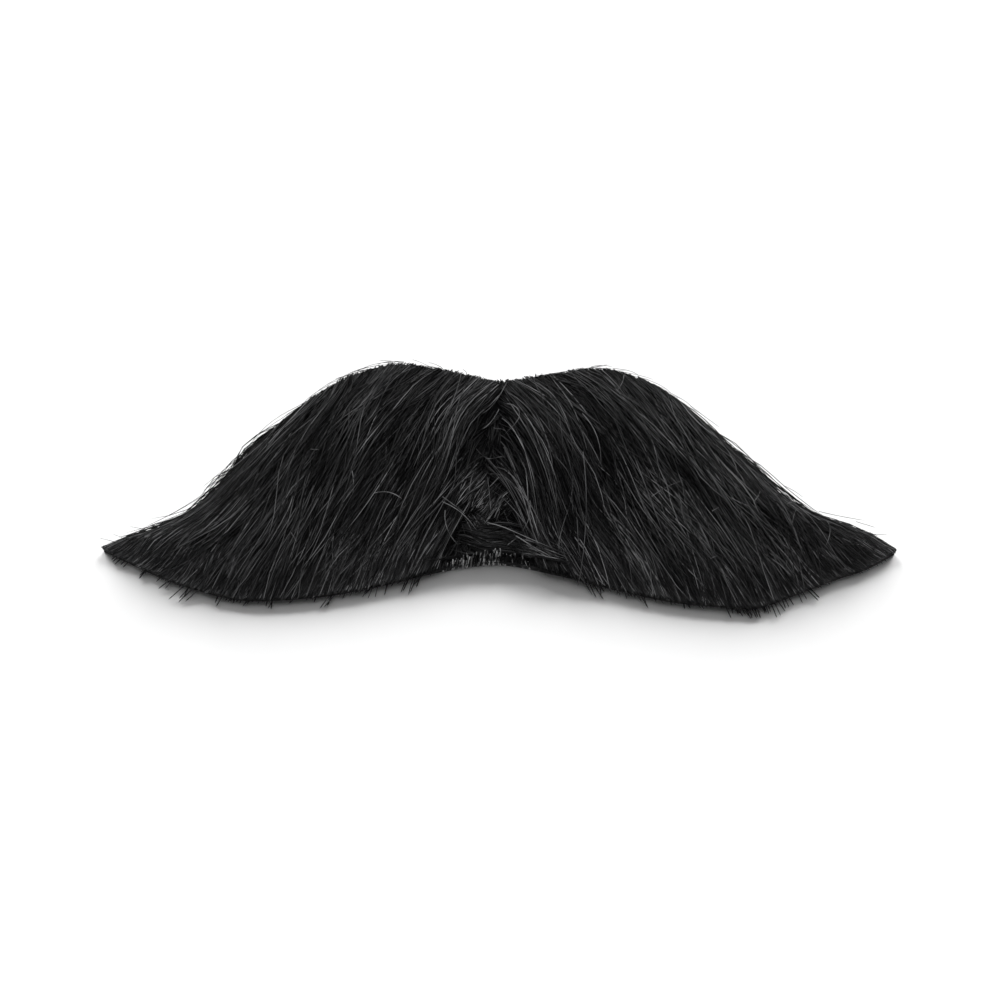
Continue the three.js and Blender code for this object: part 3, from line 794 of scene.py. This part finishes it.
def loose_hairs(stops=9, gap=0.35, level=1.02):
    """Centre lines of the loose hairs: straight from the root by turn and length, with a parabola for the
    bow, just above the combed hair."""
    hair = {name: LOOSE[:, [i]] for i, name in enumerate(LOOSE_COLUMNS)}
    s = np.linspace(0, 1, stops)[None]
    turn = np.radians(hair["turn"])
    run, bow = hair["length"] * s, hair["bow"] * 4 * s * (1 - s)
    px = hair["x"] + np.sin(turn) * run + np.cos(turn) * bow
    py = hair["y"] - np.cos(turn) * run + np.sin(turn) * bow
    z = fabric_top() + gap + hair_height(px, py) * level
    return np.stack([px, py, z], axis=2)


def stray_hairs(chance):
    """Paths, widths and tones of the whiskers and the loose hairs. The paler ones are wider."""
    off, lying = whiskers(chance), loose_hairs()
    tone = np.concatenate([chance.uniform(0.1, 0.7, len(off)), LOOSE[:, LOOSE_COLUMNS.index("tone")]])
    return np.concatenate([off, lying]), 0.4 + 0.7 * tone, tone


def lip_spikes(chance, inside=4.0, straighter=0.72, most_turn=48):
    """Paths, widths and tones of the single hairs that reach past the lip edge. Each starts inside the
    edge, runs along a straighter nap to its reach past it, bends by a parabola, and sinks towards the floor
    by another."""
    hanging = hair_rows(HANGING, HANGING_COLUMNS)
    count = len(hanging["middle"])
    x = hanging["middle"] + hanging["spread"] * (hanging["share"] - 0.5) + chance.normal(0, 0.15, count)
    side = np.sign(x)
    lip = along("lip", x)
    turn = np.radians(np.minimum(straighter * nap(side, x, lip) + chance.normal(2, 10, count), most_turn))
    way = np.stack([side * np.sin(turn), -np.cos(turn)], axis=1)[:, None]
    past = (hanging["reach"] * chance.uniform(0.9, 1.45, count) / np.cos(turn))[:, None]
    s = np.array([[0, 0.3, 0.6, 0.85, 0.95, 1]])
    run = -inside + (past + inside) * s
    bend = (chance.normal(0, 0.35, count)[:, None] * s**2)[..., None]
    foot = np.stack([x, lip], axis=1)[:, None]
    plan = foot + way * run[..., None] + way[..., ::-1] * (1, -1) * bend
    z = np.broadcast_to(fabric_top() + 0.9 - 1.1 * s - 0.3 * s**2, run.shape)
    width, tone = chance.uniform(1.2, 1.8, count), chance.uniform(0, 0.5, count)
    return np.concatenate([plan, z[..., None]], axis=2), width, tone


def grid_solid(x, low_y, high_y, floor, top, across):
    """Closed form over a strip of plan between two edges. Its lid is a grid over place along and share
    across, with steps closer together at the edges; its bottom is the same grid, flat; its four sides join
    their rims."""
    share = (1 - np.cos(np.pi * np.linspace(0, 1, across))) / 2
    gx = np.repeat(x[:, None], across, axis=1)
    gy = low_y[:, None] + (high_y - low_y)[:, None] * share[None]
    lid = np.stack([gx, gy, top(gx, gy)], axis=2).reshape(-1, 3)
    base = np.stack([gx, gy, np.full_like(gx, floor)], axis=2).reshape(-1, 3)
    n, m = len(x), across
    cell = (np.arange(n - 1)[:, None] * m + np.arange(m - 1)[None]).ravel()
    lids = np.stack([cell, cell + m, cell + m + 1, cell + 1], axis=1)
    bases = lids[:, ::-1] + n * m
    rim = np.concatenate([
        np.arange(n - 1) * m,
        (n - 1) * m + np.arange(m - 1),
        (np.arange(n - 1, 0, -1)) * m + m - 1,
        np.arange(m - 1, 0, -1),
    ])
    ahead = np.roll(rim, -1)
    sides = np.stack([rim, rim + n * m, ahead + n * m, ahead], axis=1)
    return np.concatenate([lid, base]), np.concatenate([lids, bases, sides])


def new_material(name, roughness, gloss):
    """A material, its node tree and its shader's inputs."""
    material = bpy.data.materials.new(name)
    material.use_nodes = True
    inputs = material.node_tree.nodes["Principled BSDF"].inputs
    inputs["Roughness"].default_value = roughness
    inputs["Specular IOR Level"].default_value = gloss
    return material, material.node_tree, inputs


def node(tree, kind, **inputs):
    """A shader node with values, or links from other nodes' outputs, on its sockets."""
    made = tree.nodes.new(kind)
    for name, value in inputs.items():
        socket = made.inputs[name.replace("_", " ")]
        if isinstance(value, bpy.types.NodeSocket):
            tree.links.new(value, socket)
        else:
            socket.default_value = value
    return made


def sums(tree, operation, first, second=None):
    """A maths node on a socket and a socket or number; gives its output."""
    made = tree.nodes.new("ShaderNodeMath")
    made.operation = operation
    tree.links.new(first, made.inputs[0])
    if isinstance(second, (int, float)):
        made.inputs[1].default_value = second
    elif second is not None:
        tree.links.new(second, made.inputs[1])
    return made.outputs["Value"]


def ramp(tree, share, *colours):
    """Colours at even steps of a share from 0 to 1; gives the output."""
    made = node(tree, "ShaderNodeValToRGB", Fac=share)
    steps = made.color_ramp.elements
    steps[0].color = (*colours[0], 1)
    steps[1].color = (*colours[-1], 1)
    for i, colour in enumerate(colours[1:-1], 1):
        steps.new(i / (len(colours) - 1)).color = (*colour, 1)
    return made.outputs["Color"]


def bump(tree, height, strength, depth=0.0002):
    """A bump from a height, up to a depth in metres; gives the output."""
    return node(tree, "ShaderNodeBump", Strength=strength, Distance=depth, Height=height).outputs["Normal"]


def hair_material(name, pale, apart=7.31, glints=2.8):
    """Black hair, made the first time that it is asked for. The hair's strip on the UV map gives its tone,
    from dark to pale, the pale end being painted sheen. A noise along it, whose places for two strips lie
    far apart, paints glints into its colour."""
    if name in bpy.data.materials:
        return bpy.data.materials[name]
    colours = settings()[1]
    material, tree, inputs = new_material(name, roughness=0.4, gloss=0.1)
    place = tree.nodes.new("ShaderNodeUVMap")
    place.uv_map = "strand"
    split = node(tree, "ShaderNodeSeparateXYZ", Vector=place.outputs["UV"]).outputs
    strip = sums(tree, "FLOOR", sums(tree, "MULTIPLY", split["X"], TONES * GLINTS))
    tone = sums(tree, "DIVIDE", sums(tree, "FLOOR", sums(tree, "DIVIDE", strip, GLINTS)), TONES - 1)
    across, on = sums(tree, "MULTIPLY", strip, apart), sums(tree, "MULTIPLY", split["Y"], glints)
    spot = node(tree, "ShaderNodeCombineXYZ", X=across, Y=on).outputs["Vector"]
    noise = node(tree, "ShaderNodeTexNoise", Vector=spot, Scale=1.0, Detail=1.0).outputs["Fac"]
    # Painted glints: the noise brightens and darkens the colour along each hair.
    glint = node(
        tree, "ShaderNodeMapRange", Value=noise, From_Min=0.36, From_Max=0.66, To_Min=0.4, To_Max=1.7)
    glint.interpolation_type = "SMOOTHSTEP"
    lit = tree.nodes.new("ShaderNodeVectorMath")
    lit.operation = "SCALE"
    tree.links.new(ramp(tree, tone, colours.hair_dark, colours.hair_middle, pale), lit.inputs[0])
    tree.links.new(glint.outputs["Result"], lit.inputs["Scale"])
    tree.links.new(lit.outputs["Vector"], inputs["Base Color"])
    return material


def roots_material(colour):
    """The dense foot of the pile: near black, with fine noise in its colour and a fibrous bump."""
    material, tree, inputs = new_material("pile_foot", roughness=0.9, gloss=0.0)
    place = tree.nodes.new("ShaderNodeTexCoord").outputs["Object"]
    fibres = node(tree, "ShaderNodeTexNoise", Vector=place, Scale=2600.0, Detail=3.0).outputs["Fac"]
    tree.links.new(ramp(tree, fibres, 0.4 * np.array(colour), colour), inputs["Base Color"])
    tree.links.new(bump(tree, fibres, strength=0.6), inputs["Normal"])
    return material


def knit_material(colour):
    """Ground fabric: rows of small knit loops, the product of two crossed waves, with painted shade
    between the loops.
    """
    material, tree, inputs = new_material("ground_knit", roughness=0.95, gloss=0.2)
    place = tree.nodes.new("ShaderNodeTexCoord").outputs["Object"]
    waves = []
    for direction, scale in (("X", 180.0), ("Y", 230.0)):
        wave = node(tree, "ShaderNodeTexWave", Vector=place, Scale=scale, Distortion=1.2, Detail=1.0)
        wave.bands_direction = direction
        waves.append(wave.outputs["Fac"])
    loops = sums(tree, "MULTIPLY", *waves)
    tree.links.new(ramp(tree, loops, 0.45 * np.array(colour), 1.3 * np.array(colour)), inputs["Base Color"])
    tree.links.new(bump(tree, loops, strength=0.8), inputs["Normal"])
    return material


class MoustacheSizes(bpy.types.PropertyGroup):
    """Sizes of the fabric and the hair."""

    fabric_thickness: bpy.props.FloatProperty(
        name="Fabric thickness", description="Thickness of the knit backing",
        default=1.0 * MM, min=0.3 * MM, max=3 * MM, unit="LENGTH", precision=4)
    under_width: bpy.props.FloatProperty(
        name="Under hair width", description="Width of a hair in the dense layer below",
        default=0.19 * MM, min=0.02 * MM, max=0.5 * MM, unit="LENGTH", precision=5)
    top_width: bpy.props.FloatProperty(
        name="Top hair width", description="Width of a hair in the combed layer on top",
        default=0.18 * MM, min=0.02 * MM, max=0.5 * MM, unit="LENGTH", precision=5)
    under_hairs: bpy.props.IntProperty(
        name="Under hairs", description="Hairs in the lower layer of each wing",
        default=8900, min=100, max=9000)
    top_hairs: bpy.props.IntProperty(
        name="Top hairs", description="Hairs in the upper layer of each wing",
        default=4900, min=100, max=4900)
    seed: bpy.props.IntProperty(
        name="Seed", description="Start of the chance that spreads the hair", default=7, min=0)


class MoustacheColours(bpy.types.PropertyGroup):
    """Colours of the hair, the fabric and the stage."""

    hair_dark: bpy.props.FloatVectorProperty(
        name="Darkest hair", description="Colour of the darkest hairs", default=(0.0042, 0.0042, 0.0045),
        size=3, min=0, max=1, subtype="COLOR")
    hair_middle: bpy.props.FloatVectorProperty(
        name="Middle hair", description="Colour of hairs of the middle tone", default=(0.009, 0.009, 0.0094),
        size=3, min=0, max=1, subtype="COLOR")
    # The palest hairs are painted sheen on the black hair.
    hair_pale: bpy.props.FloatVectorProperty(
        name="Palest hair", description="Colour of the palest hairs", default=(0.1, 0.1, 0.102),
        size=3, min=0, max=1, subtype="COLOR")
    # Painted highlight: the cut ends are paler than the black hair, for the light on the cut face.
    fringe: bpy.props.FloatVectorProperty(
        name="Cut fringe", description="Colour of the palest cut ends below the tuft",
        default=(0.26, 0.26, 0.262), size=3, min=0, max=1, subtype="COLOR")
    foot: bpy.props.FloatVectorProperty(
        name="Pile foot", description="Colour of the dense foot of the pile", default=(0.006, 0.006, 0.0064),
        size=3, min=0, max=1, subtype="COLOR")
    # Black knit, painted a little lighter to lift the shade on its cut edge and underside.
    fabric: bpy.props.FloatVectorProperty(
        name="Fabric", description="Colour of the knit backing", default=(0.036, 0.036, 0.0375),
        size=3, min=0, max=1, subtype="COLOR")
    floor: bpy.props.FloatVectorProperty(
        name="Floor", description="Colour of the floor", default=(0.9, 0.9, 0.9),
        size=3, min=0, max=1, subtype="COLOR")


class MoustacheStage(bpy.types.PropertyGroup):
    """Camera and light."""

    camera_elevation: bpy.props.FloatProperty(
        name="Camera elevation", description="Angle of the camera above the floor",
        default=math.radians(55), min=0, max=math.pi / 2, subtype="ANGLE")
    camera_distance: bpy.props.FloatProperty(
        name="Camera distance", description="Distance from the camera to the moustache",
        default=0.499, min=0.1, max=5, unit="LENGTH")
    key_power: bpy.props.FloatProperty(
        name="Key power", description="Watts per square metre of the hair's light from behind",
        default=2.95, min=0, max=200)
    front_power: bpy.props.FloatProperty(
        name="Front power", description="Watts per square metre of the hair's light from in front",
        default=0.9, min=0, max=200)
    high_power: bpy.props.FloatProperty(
        name="High table light", description="Watts per square metre of the floor's high light",
        default=0.75, min=0, max=200)
    high_elevation: bpy.props.FloatProperty(
        name="High elevation", description="Angle of the high lights above the floor",
        default=math.radians(58), min=0, max=math.pi / 2, subtype="ANGLE")
    high_spread: bpy.props.FloatProperty(
        name="High spread", description="Angle that each of the high lights covers in the sky",
        default=math.radians(90), min=0, max=math.pi, subtype="ANGLE")
    low_power: bpy.props.FloatProperty(
        name="Low table lights", description="Watts per square metre of each of the floor's low lights",
        default=4.42, min=0, max=200)
    low_turn: bpy.props.FloatProperty(
        name="Low turn", description="Angle to either side, from straight behind, of the low lights",
        default=math.radians(25), min=0, max=math.pi, subtype="ANGLE")
    low_elevation: bpy.props.FloatProperty(
        name="Low elevation", description="Angle of the low lights above the floor",
        default=math.radians(20), min=0, max=math.pi / 2, subtype="ANGLE")
    low_spread: bpy.props.FloatProperty(
        name="Low spread", description="Angle that each of the low lights covers in the sky",
        default=math.radians(30), min=0, max=math.pi, subtype="ANGLE")
    fill: bpy.props.FloatProperty(
        name="Fill", description="Strength of the pale surroundings", default=0.09, min=0, max=5)


def settings():
    """The sizes, the colours and the stage that are set in the panel."""
    scene = bpy.context.scene
    return scene.moustache_sizes, scene.moustache_colours, scene.moustache_stage


def fabric_top():
    """Height of the fabric's upper face in millimetres, without the last digits of the setting's short
    float."""
    return round(settings()[0].fabric_thickness / MM, 4)


class MOUSTACHE_OT_backing(bpy.types.Operator):
    """Makes the knit backing and the dense foot of the pile on it"""

    bl_idname = "moustache.backing"
    bl_label = "Backing"

    def execute(self, context):
        colours = settings()[1]
        thickness = fabric_top()
        x = np.linspace(LEFT_TIP, RIGHT_TIP, SHEET_STOPS)
        nose, lip = along("nose", x), along("lip", x)
        depth = nose - lip
        points, faces = grid_solid(x, lip, nose, 0, lambda px, py: np.full_like(px, thickness), SHEET_ROWS)
        knit = knit_material(tuple(colours.fabric))
        fabric = add_mesh("ground_fabric", points, faces, knit, smooth_faces=False)
        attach(fabric, "root")
        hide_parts("backing")

        def foot_top(px, py):
            """Height of the foot: a share of the hair's, more at the nose edge and less in the tuft."""
            share = FOOT_NOSE + (FOOT_SHARE - FOOT_NOSE) * smooth(share_down(px, py), *FOOT_FALL)
            tuft = np.where(in_tuft(px, py), TUFT_SHARE, 1)
            return thickness + FOOT_LEAST + hair_height(px, py) * share * tuft

        deep = depth / depth.max()
        points, faces = grid_solid(
            x, lip + LIP_INSET * deep, nose - NOSE_INSET * deep, thickness + FOOT_GAP, foot_top, FOOT_ROWS)
        foot = add_mesh("pile_foot", points, faces, roots_material(tuple(colours.foot)))
        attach(foot, "root")
        return {"FINISHED"}


class MOUSTACHE_OT_wings(bpy.types.Operator):
    """Makes the combed hair of both wings, each in a dense layer below and a longer layer on top"""

    bl_idname = "moustache.wings"
    bl_label = "Wings"

    def execute(self, context):
        sizes, colours, _ = settings()
        material = hair_material("combed_hair", colours.hair_pale)
        for side, name in ((-1, "left"), (1, "right")):
            chance = np.random.default_rng(sizes.seed + side)
            guides = lock_guides(chance, side, LOCKS)
            paths, tone = hair_layer(chance, side, sizes.under_hairs, guides, **LAYERS["under"])
            width = np.full(len(paths), sizes.under_width / MM)
            under = add_hairs(f"{name}_under_hair", chance, paths, width, tone * UNDER_TONE, material)
            paths, tone = hair_layer(chance, side, sizes.top_hairs, guides, **LAYERS["top"])
            width = chance.uniform(0.8, 1.1, len(paths)) * (0.9 + 0.25 * tone) * sizes.top_width / MM
            top = add_hairs(f"{name}_top_hair", chance, paths, width, tone, material)
            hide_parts(f"{name}_pile")
            for piece in (under, top):
                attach(piece, "root")
        return {"FINISHED"}


class MOUSTACHE_OT_tuft(bpy.types.Operator):
    """Makes the short crossing hair of the tuft below the parting"""

    bl_idname = "moustache.tuft"
    bl_label = "Tuft"

    def execute(self, context):
        sizes, colours, _ = settings()
        chance = np.random.default_rng(sizes.seed + 10)
        filling, bundled = tuft_filling(chance), tuft_bundled(chance)
        hair = {name: np.concatenate([filling[name], bundled[name]]) for name in filling}
        paths = tuft_paths(chance, hair)
        width = chance.uniform(0.8, 1.2, len(paths)) * sizes.top_width / MM
        material = hair_material("combed_hair", colours.hair_pale)
        tuft = add_hairs("tuft_hair", chance, paths, width, hair["tone"], material)
        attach(tuft, "root")
        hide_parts("centre_tuft")
        return {"FINISHED"}


class MOUSTACHE_OT_edges(bpy.types.Operator):
    """Makes the cut bristles along the edges, and the stray hairs that stand off them"""

    bl_idname = "moustache.edges"
    bl_label = "Edges"

    def execute(self, context):
        sizes, colours, _ = settings()
        chance = np.random.default_rng(sizes.seed + 20)
        combed = hair_material("combed_hair", colours.hair_pale)
        fringe = hair_material("cut_fringe", colours.fringe)
        forward, up = (0, 1, 0), (0, 0, 1)
        for name, make, material, across in (
                ("lip_bristles", lip_bristles, fringe, forward),
                ("nose_bristles", nose_bristles, combed, forward),
                ("stray_hairs", stray_hairs, combed, up),
                ("lip_spikes", lip_spikes, combed, up)):
            paths, width, tone = make(chance)
            piece = add_hairs(name, chance, paths, width * sizes.top_width / MM, tone, material, across)
            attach(piece, "root")
        return {"FINISHED"}


class MOUSTACHE_OT_stage(bpy.types.Operator):
    """Makes the floor, the lights and the camera"""

    bl_idname = "moustache.stage"
    bl_label = "Stage"

    def execute(self, context):
        _, colours, stage = settings()
        scene = context.scene
        scene.view_settings.view_transform = "Standard"

        material, _, inputs = new_material("pale_floor", roughness=0.9, gloss=0.0)
        inputs["Base Color"].default_value = (*colours.floor, 1)
        corners = FLOOR_HALF * np.array([(-1, -1, 0), (1, -1, 0), (1, 1, 0), (-1, 1, 0)])
        floor = add_mesh("floor", corners, np.array([[0, 1, 2, 3]]), material, smooth_faces=False)

        world = bpy.data.worlds.new("pale_room")
        world.use_nodes = True
        world.node_tree.nodes["Background"].inputs["Color"].default_value = (1, 1, 1, 1)
        world.node_tree.nodes["Background"].inputs["Strength"].default_value = stage.fill
        scene.world = world

        # turn: from straight behind. on_floor: INCLUDE lights the floor alone, EXCLUDE all but the floor.
        high = (stage.high_elevation, stage.high_spread)
        low = (stage.low_elevation, stage.low_spread)
        for name, power, turn, (rise, spread), on_floor in (
                ("soft_key", stage.key_power, 0, high, "EXCLUDE"),
                ("front_light", stage.front_power, math.pi, high, "EXCLUDE"),
                ("high_table_light", stage.high_power, 0, high, "INCLUDE"),
                ("left_table_light", stage.low_power, -stage.low_turn, low, "INCLUDE"),
                ("right_table_light", stage.low_power, stage.low_turn, low, "INCLUDE")):
            light = bpy.data.lights.new(name, "SUN")
            light.angle = spread
            light.energy = power
            lamp = bpy.data.objects.new(name, light)
            lamp.location = (math.sin(turn) * math.cos(rise), math.cos(turn) * math.cos(rise), math.sin(rise))
            lamp.rotation_euler = (-lamp.location).to_track_quat("-Z", "Y").to_euler()
            scene.collection.objects.link(lamp)
            lit = bpy.data.collections.new(f"{name}_floor")
            lit.objects.link(floor)
            lit.collection_objects[0].light_linking.link_state = on_floor
            lamp.light_linking.receiver_collection = lit

        aim = Vector(np.array(AIM) * MM + SHIFT)
        rise = stage.camera_elevation
        back = Vector((0, -math.cos(rise), math.sin(rise)))
        camera = bpy.data.objects.new("camera", bpy.data.cameras.new("camera"))
        camera.data.lens = LENS
        camera.data.sensor_width = SENSOR
        camera.data.clip_start, camera.data.clip_end = CLIP
        camera.location = aim + back * stage.camera_distance
        camera.rotation_euler = (-back).to_track_quat("-Z", "Y").to_euler()
        scene.collection.objects.link(camera)
        scene.camera = camera
        return {"FINISHED"}


class MOUSTACHE_PT_panel(bpy.types.Panel):
    """Lists the moustache's settings and the steps that build it"""

    bl_idname = "MOUSTACHE_PT_panel"
    bl_label = "Moustache"
    bl_space_type = "VIEW_3D"
    bl_region_type = "UI"
    bl_category = "Moustache"

    def draw(self, context):
        layout = self.layout
        for group in settings():
            box = layout.box()
            for name in group.__annotations__:
                box.prop(group, name)
        for step in STEPS:
            layout.operator(step.bl_idname)


STEPS = (MOUSTACHE_OT_stage, MOUSTACHE_OT_backing, MOUSTACHE_OT_wings, MOUSTACHE_OT_tuft, MOUSTACHE_OT_edges)
CLASSES = (MoustacheSizes, MoustacheColours, MoustacheStage, *STEPS, MOUSTACHE_PT_panel)


def register():
    """Adds the settings, the steps and the panel to Blender."""
    for cls in CLASSES:
        bpy.utils.register_class(cls)
    bpy.types.Scene.moustache_sizes = bpy.props.PointerProperty(type=MoustacheSizes)
    bpy.types.Scene.moustache_colours = bpy.props.PointerProperty(type=MoustacheColours)
    bpy.types.Scene.moustache_stage = bpy.props.PointerProperty(type=MoustacheStage)


def unregister():
    """Takes them out again."""
    del bpy.types.Scene.moustache_stage
    del bpy.types.Scene.moustache_colours
    del bpy.types.Scene.moustache_sizes
    for cls in reversed(CLASSES):
        bpy.utils.unregister_class(cls)


def main():
    """Builds the moustache on its stage."""
    register()
    bpy.ops.moustache.stage()
    bpy.ops.moustache.backing()
    bpy.ops.moustache.wings()
    bpy.ops.moustache.tuft()
    bpy.ops.moustache.edges()


if __name__ == "__main__":
    main()
